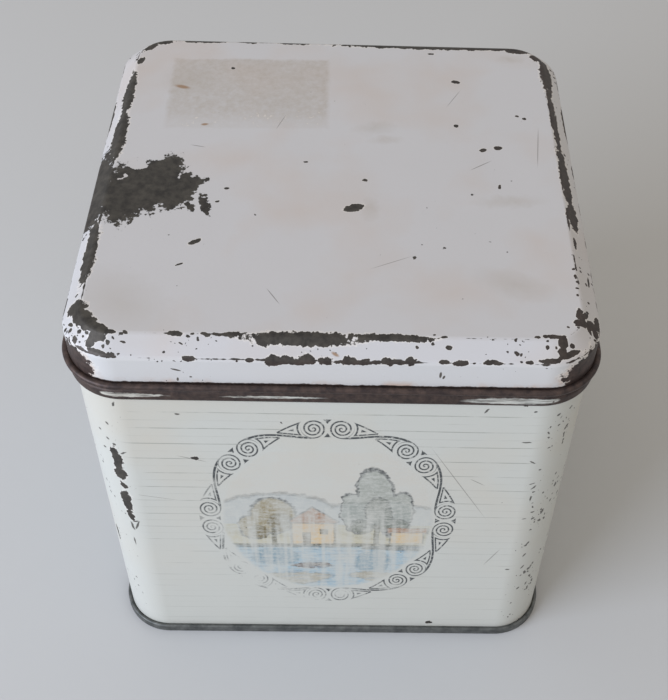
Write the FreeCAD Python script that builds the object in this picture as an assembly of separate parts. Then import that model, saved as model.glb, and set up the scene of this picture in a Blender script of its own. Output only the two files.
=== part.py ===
"""Square tinplate canister with a push-on slip lid, three pressings, in millimetres.

The origin is the middle of the base on the floor, with +Z up and the front towards -Y.
Each piece is drawn the way it is pressed: a section of bent sheet, swept round a square with rounded corners.
"""

import FreeCAD, Part
import math
import os

# Plan of the body, measured on the outer faces of the wrapper
BODY_WIDTH = 110.0
BODY_DEPTH = 110.0
CORNER_RADIUS = 11.5

# Tinplate, with the air between two layers of a fold
SHEET = 0.3
FOLD_GAP = 0.06

# Body wrapper, with the bead that the lid stops on
SHOULDER_HEIGHT = 100.6
BEAD_HEIGHT = 4.2
BEAD_FLANK = 1.1
BEAD_PROTRUSION = 1.1
BEAD_BEND = 1.0
HEM_DEPTH = 3.0

# Lock seam up the middle of the back wall
LOCK_SEAM_WIDTH = 4.5
LOCK_SEAM_LEAD = 1.0
LOCK_SEAM_SETBACK = 2.0

# Base end and its double seam
BASE_SEAM_HEIGHT = 2.5
BASE_COUNTERSINK = 3.0
BASE_CORNER_BEND = 0.8
BASE_RIM = 2.0

# Lid
LID_DEPTH = 12.1
LID_CLEARANCE = 0.35
LID_SEAT_GAP = 0.3
BEVEL_RUN = 4.0
BEVEL_DROP = 3.2
CREASE_BEND = 1.5
CURL_DIAMETER = 1.6
LID_RIM = 2.0
MOUTH_CLEARANCE = 1.4

# Facets that stand for a quarter turn of bent sheet, and the bend of a fold that is pressed flat
CHORDS_PER_QUARTER = 3
SQUARE = 0.0

# Places that several pieces share. Offsets are counted outward from the wrapper's outer face.
FOLD_PITCH = SHEET + FOLD_GAP
SHEET_MID = SHEET / 2
WALL_MID = -SHEET_MID
NECK_HEIGHT = LID_SEAT_GAP + LID_DEPTH - BEVEL_DROP - MOUTH_CLEARANCE
MOUTH_HEIGHT = SHOULDER_HEIGHT + NECK_HEIGHT
BEAD_FOOT = SHOULDER_HEIGHT - BEAD_HEIGHT
LID_FOOT = SHOULDER_HEIGHT + LID_SEAT_GAP
LID_TOP = LID_FOOT + LID_DEPTH
FLANGE_FOOT = SHEET + FOLD_GAP + SHEET_MID
HOOK_FOOT = FLANGE_FOOT + FOLD_PITCH
HOOK_TOP = BASE_SEAM_HEIGHT - SHEET_MID - FOLD_PITCH

ORIGIN = FreeCAD.Vector(0, 0, 0)
ACROSS = FreeCAD.Vector(1, 0, 0)
UP = FreeCAD.Vector(0, 0, 1)


def bent_line(corners):
    """The mid-line of a sheet from its (across, along, bend radius) corners, with each bend in chords.

    A bend is no larger than the shorter of its two runs leaves room for.
    """
    places = [FreeCAD.Vector(across, along, 0) for across, along, bend in corners]
    line = [places[0]]
    for i in range(1, len(places) - 1):
        bend = corners[i][2]
        before = places[i] - places[i - 1]
        after = places[i + 1] - places[i]
        turn = before.getAngle(after)
        room_before = before.Length / (2 if i > 1 else 1)
        room_after = after.Length / (2 if i < len(places) - 2 else 1)
        tangent = min(bend * math.tan(turn / 2), room_before, room_after)
        if tangent == 0:
            line.append(places[i])
            continue
        sense = 1 if before.cross(after).z > 0 else -1
        start = places[i] - before.normalize() * tangent
        centre = start + UP.cross(before) * (sense * tangent / math.tan(turn / 2))
        chords = math.ceil(turn / math.radians(90) * CHORDS_PER_QUARTER - 1e-6)
        for step in range(chords + 1):
            swing = FreeCAD.Rotation(UP, math.degrees(sense * turn * step / chords))
            point = centre + swing.multVec(start - centre)
            if point.distanceToPoint(line[-1]) > 1e-6:
                line.append(point)
    return line + [places[-1]]


def beside(line, offset):
    """The same line moved sideways by an offset, mitred at its corners."""
    moved = []
    for i, point in enumerate(line):
        before = line[i] - line[i - 1] if i > 0 else line[1] - line[0]
        after = line[i + 1] - line[i] if i < len(line) - 1 else before
        across = UP.cross(before.normalize()) + UP.cross(after.normalize())
        moved.append(point + across * (2 * offset / across.dot(across)))
    return moved


def sheet_section(corners):
    """A face of sheet thickness along a bent mid-line, lying level."""
    line = bent_line(corners)
    outline = beside(line, SHEET_MID) + beside(line, -SHEET_MID)[::-1]
    return Part.Face(Part.makePolygon(outline + outline[:1]))


def swept_round(corners):
    """Carry a section, given as (outward offset, height, bend radius), round the body's plan.

    It makes four straight sides and four turned corners that meet face to face.
    """
    section = sheet_section(corners).rotated(ORIGIN, ACROSS, 90)
    pieces = []
    for side in range(4):
        reach, length = (BODY_WIDTH, BODY_DEPTH) if side % 2 == 0 else (BODY_DEPTH, BODY_WIDTH)
        straight = length / 2 - CORNER_RADIUS
        wall = section.translated(FreeCAD.Vector(reach / 2, -straight, 0))
        wall = wall.extrude(FreeCAD.Vector(0, 2 * straight, 0))
        corner = section.translated(FreeCAD.Vector(reach / 2, straight, 0))
        corner = corner.revolve(FreeCAD.Vector(reach / 2 - CORNER_RADIUS, straight, 0), UP, 90)
        pieces += [piece.rotated(ORIGIN, UP, 90 * side) for piece in (wall, corner)]
    return pieces


def flat_panel(offset, foot):
    """A flat sheet with the body's plan, grown or shrunk by an offset, with its underside at a height."""
    width = BODY_WIDTH + 2 * offset
    depth = BODY_DEPTH + 2 * offset
    blank = Part.makeBox(width, depth, SHEET, FreeCAD.Vector(-width / 2, -depth / 2, foot))
    upright_edges = [edge for edge in blank.Edges if edge.BoundBox.ZLength > SHEET_MID]
    return blank.makeFillet(CORNER_RADIUS + offset, upright_edges)


def joined(pieces):
    """One solid from pieces that meet face to face."""
    return pieces[0].multiFuse(pieces[1:]).removeSplitter().Solids[0]


def make_lid():
    """Panel, bevelled shoulder, skirt and a hollow rim rolled outward."""
    skirt = LID_CLEARANCE + SHEET_MID
    top = LID_TOP - SHEET_MID
    curl_bend = (CURL_DIAMETER - SHEET) / 2
    curl_outside = skirt + 2 * curl_bend
    curl_foot = LID_FOOT + SHEET_MID
    curl_top = curl_foot + 2 * curl_bend
    panel_edge = skirt - BEVEL_RUN - LID_RIM
    rim = swept_round([
        (panel_edge, top, SQUARE),
        (skirt - BEVEL_RUN, top, CREASE_BEND),
        (skirt, top - BEVEL_DROP, CREASE_BEND),
        (skirt, curl_foot, curl_bend),
        (curl_outside, curl_foot, curl_bend),
        (curl_outside, curl_top, curl_bend),
        (skirt + SHEET_MID + FOLD_GAP, curl_top, SQUARE),
    ])
    return joined(rim + [flat_panel(panel_edge, LID_TOP - SHEET)])


def lock_seam(foot, head):
    """The wrapper's two edges, folded and hooked into each other, and the stretch of wall that they replace."""
    layers = [BODY_DEPTH / 2 + WALL_MID - i * FOLD_PITCH for i in range(4)]
    half = LOCK_SEAM_WIDTH / 2
    step_foot = -half - FOLD_PITCH
    step_head = step_foot - FOLD_PITCH
    left = step_head - LOCK_SEAM_LEAD
    right = half + LOCK_SEAM_LEAD
    over = sheet_section([
        (right, layers[0], SQUARE),
        (-half, layers[0], FOLD_PITCH),
        (-half, layers[2], FOLD_PITCH),
        (half - FOLD_PITCH, layers[2], SQUARE),
    ])
    under = sheet_section([
        (left, layers[0], SQUARE),
        (step_head, layers[0], FOLD_PITCH),
        (step_foot, layers[3], FOLD_PITCH),
        (half, layers[3], FOLD_PITCH),
        (half, layers[1], FOLD_PITCH),
        (-half + FOLD_PITCH, layers[1], SQUARE),
    ])
    rise = FreeCAD.Vector(0, 0, head - foot)
    hooks = [hook.translated(UP * foot).extrude(rise) for hook in (over, under)]
    corner = FreeCAD.Vector(left, layers[0] - SHEET, foot)
    opening = Part.makeBox(right - left, 2 * SHEET, head - foot, corner)
    return hooks, opening


def make_body_wrapper():
    """Hemmed mouth, neck, bead, wall and the flange that the base seam holds."""
    crest = BEAD_PROTRUSION - SHEET_MID
    flange = WALL_MID + 2 * FOLD_PITCH
    tube = joined(swept_round([
        (WALL_MID - FOLD_PITCH, MOUTH_HEIGHT - HEM_DEPTH, SQUARE),
        (WALL_MID - FOLD_PITCH, MOUTH_HEIGHT - SHEET_MID, SQUARE),
        (WALL_MID, MOUTH_HEIGHT - SHEET_MID, SQUARE),
        (WALL_MID, SHOULDER_HEIGHT, BEAD_BEND),
        (crest, SHOULDER_HEIGHT - BEAD_FLANK, BEAD_BEND),
        (crest, BEAD_FOOT + BEAD_FLANK, BEAD_BEND),
        (WALL_MID, BEAD_FOOT, BEAD_BEND),
        (WALL_MID, FLANGE_FOOT, SQUARE),
        (flange, FLANGE_FOOT, SQUARE),
        (flange, HOOK_TOP, SQUARE),
    ]))
    foot = max(BASE_SEAM_HEIGHT, BASE_COUNTERSINK + SHEET) + LOCK_SEAM_SETBACK
    hooks, opening = lock_seam(foot, BEAD_FOOT - LOCK_SEAM_SETBACK)
    return joined([tube.cut(opening)] + hooks)


def make_base_end():
    """Raised panel, wall inside the wrapper and the seam rolled round the wrapper's flange."""
    wall = WALL_MID - FOLD_PITCH
    cover_hook = WALL_MID + FOLD_PITCH
    seam_outside = WALL_MID + 3 * FOLD_PITCH
    seam_top = BASE_SEAM_HEIGHT - SHEET_MID
    panel = BASE_COUNTERSINK + SHEET_MID
    panel_edge = wall - BASE_RIM
    rim = swept_round([
        (panel_edge, panel, SQUARE),
        (wall, panel, BASE_CORNER_BEND),
        (wall, SHEET_MID, SQUARE),
        (seam_outside, SHEET_MID, SQUARE),
        (seam_outside, seam_top, FOLD_PITCH),
        (cover_hook, seam_top, FOLD_PITCH),
        (cover_hook, HOOK_FOOT, SQUARE),
    ])
    return joined(rim + [flat_panel(panel_edge, BASE_COUNTERSINK)])


def main():
    os.makedirs("parts", exist_ok=True)
    pieces = {
        "lid": make_lid(),
        "body_wrapper": make_body_wrapper(),
        "base_end": make_base_end(),
    }
    for name, shape in pieces.items():
        shape.exportStep("parts/" + name + ".step")
        print(name, "valid" if shape.isValid() else "not valid", round(shape.Volume, 1), "cubic mm")


main()
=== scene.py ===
"""Looks of a square tinplate canister: worn enamel on the lid, a printed body, bare tarnished folds.

Lengths are metres in the frame's axes: +Z up, the front towards -Y, the origin in the middle of the base.
Places of wear and print are in the same axes, in millimetres.
"""

import math

import bmesh
import bpy
from bpy.props import FloatProperty, FloatVectorProperty, IntProperty, PointerProperty
from mathutils import Matrix, Vector


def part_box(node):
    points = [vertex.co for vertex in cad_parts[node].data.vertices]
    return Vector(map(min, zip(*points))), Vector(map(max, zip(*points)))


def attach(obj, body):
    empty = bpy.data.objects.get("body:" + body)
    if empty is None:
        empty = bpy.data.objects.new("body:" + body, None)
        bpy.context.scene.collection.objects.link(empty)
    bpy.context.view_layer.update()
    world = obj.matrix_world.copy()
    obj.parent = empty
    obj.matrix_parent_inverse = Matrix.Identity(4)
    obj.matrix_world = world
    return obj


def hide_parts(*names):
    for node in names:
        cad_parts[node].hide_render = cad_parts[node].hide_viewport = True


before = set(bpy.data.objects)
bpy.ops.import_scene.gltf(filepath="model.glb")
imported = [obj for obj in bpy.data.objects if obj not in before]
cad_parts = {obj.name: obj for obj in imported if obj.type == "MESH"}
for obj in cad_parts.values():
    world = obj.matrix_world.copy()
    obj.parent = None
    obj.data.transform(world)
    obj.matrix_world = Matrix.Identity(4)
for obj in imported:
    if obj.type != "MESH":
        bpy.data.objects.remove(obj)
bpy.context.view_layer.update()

bl_info = {
    "name": "Square tin canister",
    "version": (1, 0, 0),
    "blender": (4, 5, 0),
    "location": "3D View > Sidebar > Tin",
    "description": "Dresses a square tinplate canister with a slip lid in worn enamel and print",
    "category": "Object",
}

MM = 0.001
LID_LOW, LID_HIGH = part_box("lid")
WALL_LOW, WALL_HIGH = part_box("body_wrapper")
BASE_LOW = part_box("base_end")[0]

# Distances in metres: points this close are at one place, and mirrored points this close are merged
SAME_PLACE = 1e-6
MERGE = 1e-7

# Share of a run that the bend at one of its ends may take, so that two bends stay apart
BEND_SHARE = 0.499

# The camera, from a fit to the tin's edges in a picture 668 pixels wide and 700 high
PICTURE_HEIGHT = 700
LENS_PIXELS = 1161.0
AXIS_PIXELS_RIGHT = 50.0
SENSOR = 36.0
CAMERA_PLACE = (3.95, -209.4, 283.9)
CAMERA_TURN = -2.36
CAMERA_DIP = 47.9
CAMERA_ROLL = 2.73

# Heights in millimetres: the lid's panel, the crease under its bevel, the foot of the enamel above the rim,
# the body's shoulder, and the line above which the lid has rubbed the bead
PANEL = LID_HIGH.z / MM
LOWER_CREASE = 109.75
ENAMEL_FOOT = 102.7
SHOULDER = 100.6
RUB_LINE = 96.5

# Outer face of the front in millimetres, and how far inside it the crease above the lid's bevel lies
FRONT = -55.0
UPPER_CREASE_INSET = 3.5

# Axes that spots turn about: this one on the lid and the bead, the other on the body and the lid's skirt
UPRIGHT = (0, 0, 1)
FACING_FRONT = (0, -1, 0)

# Spots of wear. Each is x, y, z, half length and half width in millimetres, then its turn in degrees.
LID_PATCH = [
    (-47.5, -9.0, PANEL, 10.8, 5.2, 90), (-42.0, -6.5, PANEL, 9.4, 5.6, 90),
    (-38.6, -0.8, PANEL, 6.0, 3.4, 80), (-35.6, -8.2, PANEL, 6.6, 3.7, 75),
    (-33.4, -5.4, PANEL, 3.9, 2.3, 20), (-31.2, -4.3, PANEL, 2.2, 0.8, 15),
    (-32.2, -13.4, PANEL, 2.4, 0.9, -75), (-29.4, -12.6, PANEL, 4.4, 1.1, -75),
    (-54.0, -6.5, 111.2, 14.5, 4.4, 90),
]
LID_PATCH_ISLANDS = [
    (-46.0, 1.0, PANEL, 2.8, 1.4, -20), (-48.7, -3.6, PANEL, 1.2, 0.6, 30),
    (-39.8, -13.6, PANEL, 0.9, 0.5, 0),
]
LID_CREASE_RUBS = [
    (-48.6, 48.4, 112.9, 2.6, 1.0, 50), (-50.6, 42.0, 112.9, 1.9, 0.8, 75),
    (-51.7, 28.0, 112.6, 9.5, 1.6, 90), (-51.9, 12.0, 112.5, 10.0, 2.0, 90),
    (-52.2, -27.5, 112.2, 11.0, 1.8, 90), (-45.6, 50.6, 112.9, 2.8, 0.9, 20),
    (-35.5, 51.4, 112.8, 5.5, 0.9, 0), (-24.0, 51.4, 112.8, 2.5, 0.7, 0),
    (-12.0, 51.4, 112.8, 4.5, 0.8, 0), (24.0, 51.3, 112.8, 26.0, 1.3, 0),
    (45.0, 50.4, 112.8, 3.5, 1.3, -12), (50.2, 47.4, 112.7, 2.0, 1.5, -45),
    (52.2, 40.0, 112.4, 8.0, 1.9, 91), (52.4, 20.0, 112.5, 13.0, 1.2, 91),
    (52.7, 0.0, 112.3, 12.0, 1.6, 91), (53.0, -12.5, 112.1, 6.0, 1.7, 91),
    (52.5, -22.0, 112.6, 2.4, 0.6, 85), (-6.0, -52.0, 112.5, 12.0, 1.6, 0),
    (-13.6, -52.4, 112.3, 1.6, 1.5, 0), (11.8, -51.6, 112.8, 9.5, 0.95, -1),
    (-19.8, -51.5, 112.9, 2.8, 0.55, 0), (-31.2, -51.5, 112.9, 1.5, 0.6, 0),
    (-11.4, -55.6, 109.7, 2.1, 1.4, 0), (-9.2, -55.3, 110.0, 1.7, 1.1, 0),
    (-6.4, -55.7, 109.5, 3.5, 0.8, 0), (-5.0, -55.2, 110.1, 1.8, 1.0, 0),
    (-1.2, -55.5, 109.8, 1.8, 1.05, 0), (3.2, -55.5, 109.9, 1.6, 1.1, 0),
    (4.4, -55.6, 109.6, 5.5, 0.6, 0), (11.2, -55.5, 109.9, 1.6, 1.05, 0),
    (15.8, -55.4, 110.0, 1.3, 1.0, 0), (13.6, -55.6, 109.7, 3.8, 0.6, 0),
    (25.6, -55.5, 109.9, 2.0, 0.7, 0), (32.4, -55.3, 109.9, 2.2, 0.6, 0),
]
LID_CORNER_RUBS = [
    (-52.4, -44.4, 112.2, 3.0, 2.1, -20), (-50.8, -47.2, 112.6, 2.4, 2.0, -50),
    (-49.0, -49.0, 112.9, 2.4, 1.8, -40), (-46.8, -50.5, 112.9, 2.6, 1.4, -30),
    (-45.0, -51.2, 112.9, 1.9, 0.65, -10), (-47.0, -51.9, 112.3, 2.2, 1.3, -10),
    (-48.4, -52.8, 111.1, 1.4, 1.1, 70), (-46.4, -54.7, 110.3, 2.9, 0.65, -23),
    (-52.0, -51.6, 104.8, 5.0, 4.6, -45), (50.7, -44.5, PANEL, 2.0, 0.85, 95),
    (51.8, -44.6, 112.8, 1.8, 0.75, 50), (50.9, -46.6, 112.9, 2.1, 1.15, 10),
    (53.0, -46.2, 111.6, 2.2, 1.3, 8), (54.5, -44.8, 110.5, 2.2, 0.85, 95),
    (53.9, -47.4, 110.5, 2.2, 0.85, -70), (46.6, -51.8, 112.3, 1.1, 1.6, 0),
    (46.4, -53.3, 111.2, 1.1, 1.2, 0), (44.0, -55.0, 110.3, 2.3, 0.6, 0),
    (47.4, -53.7, 110.7, 3.0, 0.75, 28), (44.8, -50.7, PANEL, 1.7, 0.55, 0),
    (53.0, -51.0, 104.6, 7.5, 5.2, 50), (51.8, 51.8, 103.6, 6.0, 2.4, -45),
    (-51.8, 51.8, 103.6, 6.0, 2.4, 45), (20.0, 55.4, 109.8, 9.0, 0.8, 0),
    (-30.0, 55.4, 109.8, 5.0, 0.6, 0), (55.4, 24.0, 109.8, 7.0, 0.7, 90),
    (-55.4, 22.0, 109.8, 6.0, 0.8, 90),
]
LID_CHIPS = [
    (-27.3, 39.8, PANEL, 0.5, 0.4, 0), (-7.4, 3.1, PANEL, 0.6, 0.35, 0),
    (-24.8, -6.8, PANEL, 0.7, 0.45, 10), (-26.6, -11.4, PANEL, 0.5, 0.4, 0),
    (-30.2, -24.7, PANEL, 1.6, 0.7, 35), (-32.8, -31.7, PANEL, 0.9, 0.35, 30),
    (23.0, 48.1, PANEL, 1.0, 0.4, 0), (28.9, 36.0, PANEL, 1.2, 0.7, -15),
    (28.1, 18.0, PANEL, 0.6, 0.6, 0), (43.2, 22.5, PANEL, 0.5, 0.5, 0),
    (44.8, 21.3, PANEL, 0.5, 0.5, 0), (34.0, 8.9, PANEL, 0.9, 0.7, 10),
    (37.6, 9.8, PANEL, 1.1, 0.8, 0), (37.1, -4.4, PANEL, 0.8, 0.4, 80),
    (6.2, -3.0, PANEL, 0.6, 0.5, 0), (3.8, -12.6, PANEL, 2.4, 1.2, 20),
    (-41.3, -51.4, 112.9, 0.6, 0.4, 0), (-28.0, -51.6, 112.9, 0.5, 0.3, 20),
    (-25.4, -51.6, 112.9, 1.1, 0.5, -8), (-23.6, -51.5, 112.9, 0.5, 0.3, 0),
    (-22.6, -51.8, 112.8, 0.6, 0.3, 0), (20.6, -50.8, PANEL, 0.4, 0.3, 0),
    (22.6, -51.3, PANEL, 0.7, 0.3, 0), (17.0, -53.1, 111.8, 0.35, 0.35, 0),
    (23.4, -53.1, 111.8, 0.7, 0.5, 0), (-30.2, -53.1, 111.8, 0.6, 0.25, -30),
    (-41.8, -53.1, 111.8, 0.6, 0.25, -20), (-28.7, -55.5, 109.8, 1.4, 0.7, 0),
    (-16.4, -55.6, 109.8, 1.1, 0.6, 0), (-19.0, -55.7, 109.5, 0.3, 0.25, 0),
    (22.6, -55.5, 109.9, 1.2, 0.55, 0), (6.6, -55.3, 110.1, 1.0, 0.4, 0),
    (28.6, -55.5, 109.9, 0.4, 0.3, 0), (39.7, -55.2, 110.0, 0.9, 0.4, 0),
    (-53.2, -47.8, 111.1, 0.9, 0.45, -35), (-53.0, -49.1, 110.7, 0.4, 0.5, 0),
    (-50.9, -50.3, 111.5, 0.55, 0.45, 0), (-49.9, -51.4, 111.4, 0.35, 0.35, 0),
    (-51.9, -50.9, 110.6, 0.5, 0.35, 60), (-53.1, -40.6, 111.9, 0.8, 0.35, 30),
    (52.5, -43.2, 112.3, 0.6, 0.5, 0), (52.6, -47.8, 111.3, 0.9, 0.4, -60),
    (43.3, -52.8, 112.1, 0.45, 0.45, 0), (45.1, -52.8, 112.0, 0.4, 0.4, 30),
    (48.4, -52.0, 111.7, 0.55, 0.6, 0), (47.9, -48.1, PANEL, 0.35, 0.35, 0),
    (43.0, -50.7, PANEL, 0.7, 0.4, 0), (41.4, -50.9, PANEL, 0.6, 0.35, 0),
    (51.0, -30.9, PANEL, 0.4, 0.4, 0), (51.1, -33.3, PANEL, 0.8, 0.35, 90),
    (51.2, -34.9, PANEL, 0.35, 0.35, 0), (51.1, -36.7, PANEL, 0.5, 0.25, 0),
    (50.9, -38.7, PANEL, 0.5, 0.3, 90), (53.5, -34.1, 111.5, 0.4, 0.4, 0),
    (54.2, -32.6, 110.9, 2.0, 0.35, 85), (53.3, -39.7, 111.7, 0.45, 0.3, 0),
]
LID_SCRATCHES = [
    (-12.5, -40.7, PANEL, 2.7, 0.12, -57), (33.2, 3.2, PANEL, 3.2, 0.13, 35),
    (47.2, 10.5, PANEL, 7.4, 0.11, 84), (-32.8, 8.2, PANEL, 1.8, 0.13, -12),
    (28.0, 29.0, PANEL, 4.0, 0.09, 62), (-14.0, 18.0, PANEL, 3.0, 0.09, 70),
    (12.0, -30.0, PANEL, 5.0, 0.08, 25),
]
SKIRT_STROKES = [
    (-31.4, -55.6, 106.6, 1.1, 0.26, -18), (-31.3, -55.6, 103.7, 0.6, 0.24, 85),
    (-28.6, -55.6, 104.5, 0.3, 0.24, 0), (22.0, -55.6, 106.3, 1.0, 0.28, 88),
    (22.7, -55.6, 105.6, 0.6, 0.26, 75),
]
LID_SMEARS = [
    (-39.0, 31.4, PANEL, 2.2, 0.8, -15), (-32.1, 16.5, PANEL, 1.0, 0.5, 10),
    (0.6, -54.4, 110.7, 1.9, 0.4, -35),
]
LID_LABEL = [(-22.4, 29.6, PANEL, 19.6, 14.3, 1.5)]
LID_LABEL_STRIP = [(-21.0, 18.6, PANEL, 19.0, 3.4, 1.5)]
LID_SMUDGES = [
    (-37.0, 35.0, PANEL, 7.0, 6.0, 0), (8.5, 16.5, PANEL, 5.0, 2.5, 10),
    (11.0, 12.0, PANEL, 4.0, 1.6, 5), (7.5, -12.5, PANEL, 2.2, 4.0, 0),
    (43.5, 46.5, PANEL, 3.6, 2.0, 5), (39.0, -9.5, PANEL, 8.0, 2.2, 4),
    (38.0, -36.0, PANEL, 9.0, 4.0, -20), (-43.5, -43.5, PANEL, 13.0, 8.0, -40),
    (-31.5, 16.5, PANEL, 1.6, 0.9, 10),
]
BODY_CHIPS = [
    (-47.9, -54.1, 74.2, 4.4, 1.3, 96), (-47.7, -54.2, 68.8, 2.6, 1.7, 75),
    (-47.8, -54.1, 64.4, 1.6, 0.9, 110), (-47.7, -54.2, 57.8, 4.6, 1.4, 93),
    (-47.6, -54.3, 52.2, 2.4, 0.8, 95), (-53.0, -50.0, 38.5, 3.2, 0.7, 100),
    (-30.4, -55.0, 75.8, 0.9, 0.7, 0), (25.5, -55.0, 4.4, 0.9, 0.7, 0),
    (55.0, -31.0, 71.0, 1.0, 1.0, 0), (55.0, -29.8, 71.9, 1.0, 0.6, 0),
    (55.0, -31.6, 69.4, 1.0, 0.4, 0), (55.0, 22.0, 88.0, 1.0, 0.5, 0),
    (55.0, 35.0, 24.0, 1.0, 0.9, 0), (55.0, 36.4, 25.0, 1.0, 0.8, 0),
    (55.0, 33.9, 22.2, 1.0, 0.4, 0), (-55.0, 28.0, 66.0, 1.0, 0.8, 0),
    (-55.0, 29.2, 67.2, 1.0, 0.7, 0), (-55.0, 26.6, 64.4, 1.0, 0.4, 0),
    (-55.0, -12.0, 83.0, 1.0, 0.4, 0), (-55.0, 9.0, 18.0, 1.0, 0.7, 0),
    (-55.0, 10.5, 18.5, 1.0, 1.0, 0), (-55.0, 7.6, 16.6, 1.0, 0.4, 0),
    (24.0, 55.0, 79.0, 1.5, 0.6, 40), (22.8, 55.0, 80.4, 0.7, 0.4, -20),
    (-29.0, 55.0, 52.0, 0.9, 0.4, -30), (-38.0, 55.0, 14.0, 1.6, 0.8, 15),
    (-36.4, 55.0, 15.2, 0.7, 0.5, 60),
]
BODY_MARKS = [
    (-46.8, -54.5, 50.1, 1.4, 0.32, 27), (-47.7, -54.2, 47.8, 1.9, 0.34, 100),
    (-46.5, -54.6, 48.4, 2.5, 0.32, 69), (-48.1, -54.1, 41.2, 2.0, 0.25, 95),
    (-46.0, -54.7, 77.2, 1.2, 0.25, 35), (-45.8, -54.8, 94.3, 0.9, 0.30, 70),
    (-48.3, -54.0, 86.8, 0.6, 0.30, -50), (-50.5, -52.6, 83.3, 0.4, 0.40, 0),
    (-48.9, -53.6, 81.1, 0.6, 0.35, -30), (-50.3, -52.8, 77.1, 0.5, 0.40, 0),
    (-47.7, -54.2, 79.7, 0.5, 0.50, 0), (-32.7, -55.0, 91.6, 0.6, 0.35, 0),
    (32.6, -55.0, 94.2, 0.9, 0.30, 60), (43.0, -55.0, 94.1, 0.4, 0.30, 0),
    (48.4, -53.9, 92.0, 0.6, 0.40, 20), (46.8, -54.5, 86.4, 0.7, 0.22, -55),
    (42.4, -55.0, 83.5, 1.1, 0.28, 0), (51.1, -52.2, 81.3, 0.5, 0.35, 80),
    (47.8, -54.2, 80.8, 0.6, 0.25, 15), (44.6, -55.0, 76.2, 1.0, 0.22, -38),
    (46.7, -54.5, 73.0, 0.4, 0.30, 0), (51.3, -52.0, 68.4, 0.6, 0.35, 60),
    (45.7, -54.8, 68.0, 2.5, 0.18, 18), (46.1, -54.7, 66.4, 1.0, 0.30, 48),
    (46.3, -54.6, 64.5, 0.4, 0.30, 0), (45.9, -54.7, 62.0, 1.2, 0.28, 87),
    (47.2, -54.4, 56.0, 0.6, 0.30, 0), (47.7, -54.2, 53.2, 0.6, 0.35, 0),
    (45.4, -54.8, 53.7, 0.9, 0.20, 5), (47.7, -54.2, 42.2, 1.1, 0.25, 60),
    (47.6, -54.3, 37.1, 0.9, 0.35, 60), (47.8, -54.2, 31.4, 1.0, 0.25, 60),
    (43.9, -55.0, 31.3, 0.7, 0.25, 0), (47.9, -54.1, 21.0, 0.6, 0.35, 45),
]
BODY_SCRATCHES = [
    (12.0, 55.0, 60.0, 9.0, 0.12, 35), (-20.0, 55.0, 85.0, 6.0, 0.10, -20),
    (-31.0, -55.0, 75.9, 3.4, 0.15, -18), (29.0, -55.0, 67.5, 15.2, 0.11, -62),
    (33.0, -55.0, 68.5, 2.2, 0.13, -35), (39.4, -55.0, 37.0, 4.0, 0.14, 65),
    (-41.0, -55.0, 61.0, 6.0, 0.08, -12),
]
# Paint left on the bead's crest, partly a painted highlight: pale strips where the crest catches the light
BEAD_PAINT_AND_HIGHLIGHT = [
    (-43.0, -55.9, 98.9, 10.0, 0.6, 0), (-12.0, -56.1, 98.9, 11.0, 0.4, 0),
    (38.0, -55.9, 98.8, 11.5, 0.9, 0), (-56.0, 10.0, 98.5, 13.0, 0.8, 90),
    (56.0, -14.0, 98.5, 15.0, 0.8, 90), (8.0, 56.0, 98.5, 17.0, 0.7, 0),
]

# The scrolled frame on the front, in millimetres. It is a circle, drawn out upwards into an oval.
FRAME_MIDDLE = (-1.0, FRONT, 52.7)
FRAME_RISE = 1.25
FRAME_RADIUS = 27.8
SCROLL_PAIRS = 8
SCROLL_RADIUS = 2.6
SCROLL_PITCH = 0.95
SCROLL_APART = 3.1
WEDGE_GAP = 0.75
WEDGE_HEART = 0.8
GORE_MIDDLE = 1.9
GORE_HALF = 0.5
PEN = 0.17
HEAVY_PEN = 1.6 * PEN

# Rules printed round the body, in millimetres
TOP_RULE = 92.5
RULE_SPACING = 5.4

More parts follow.
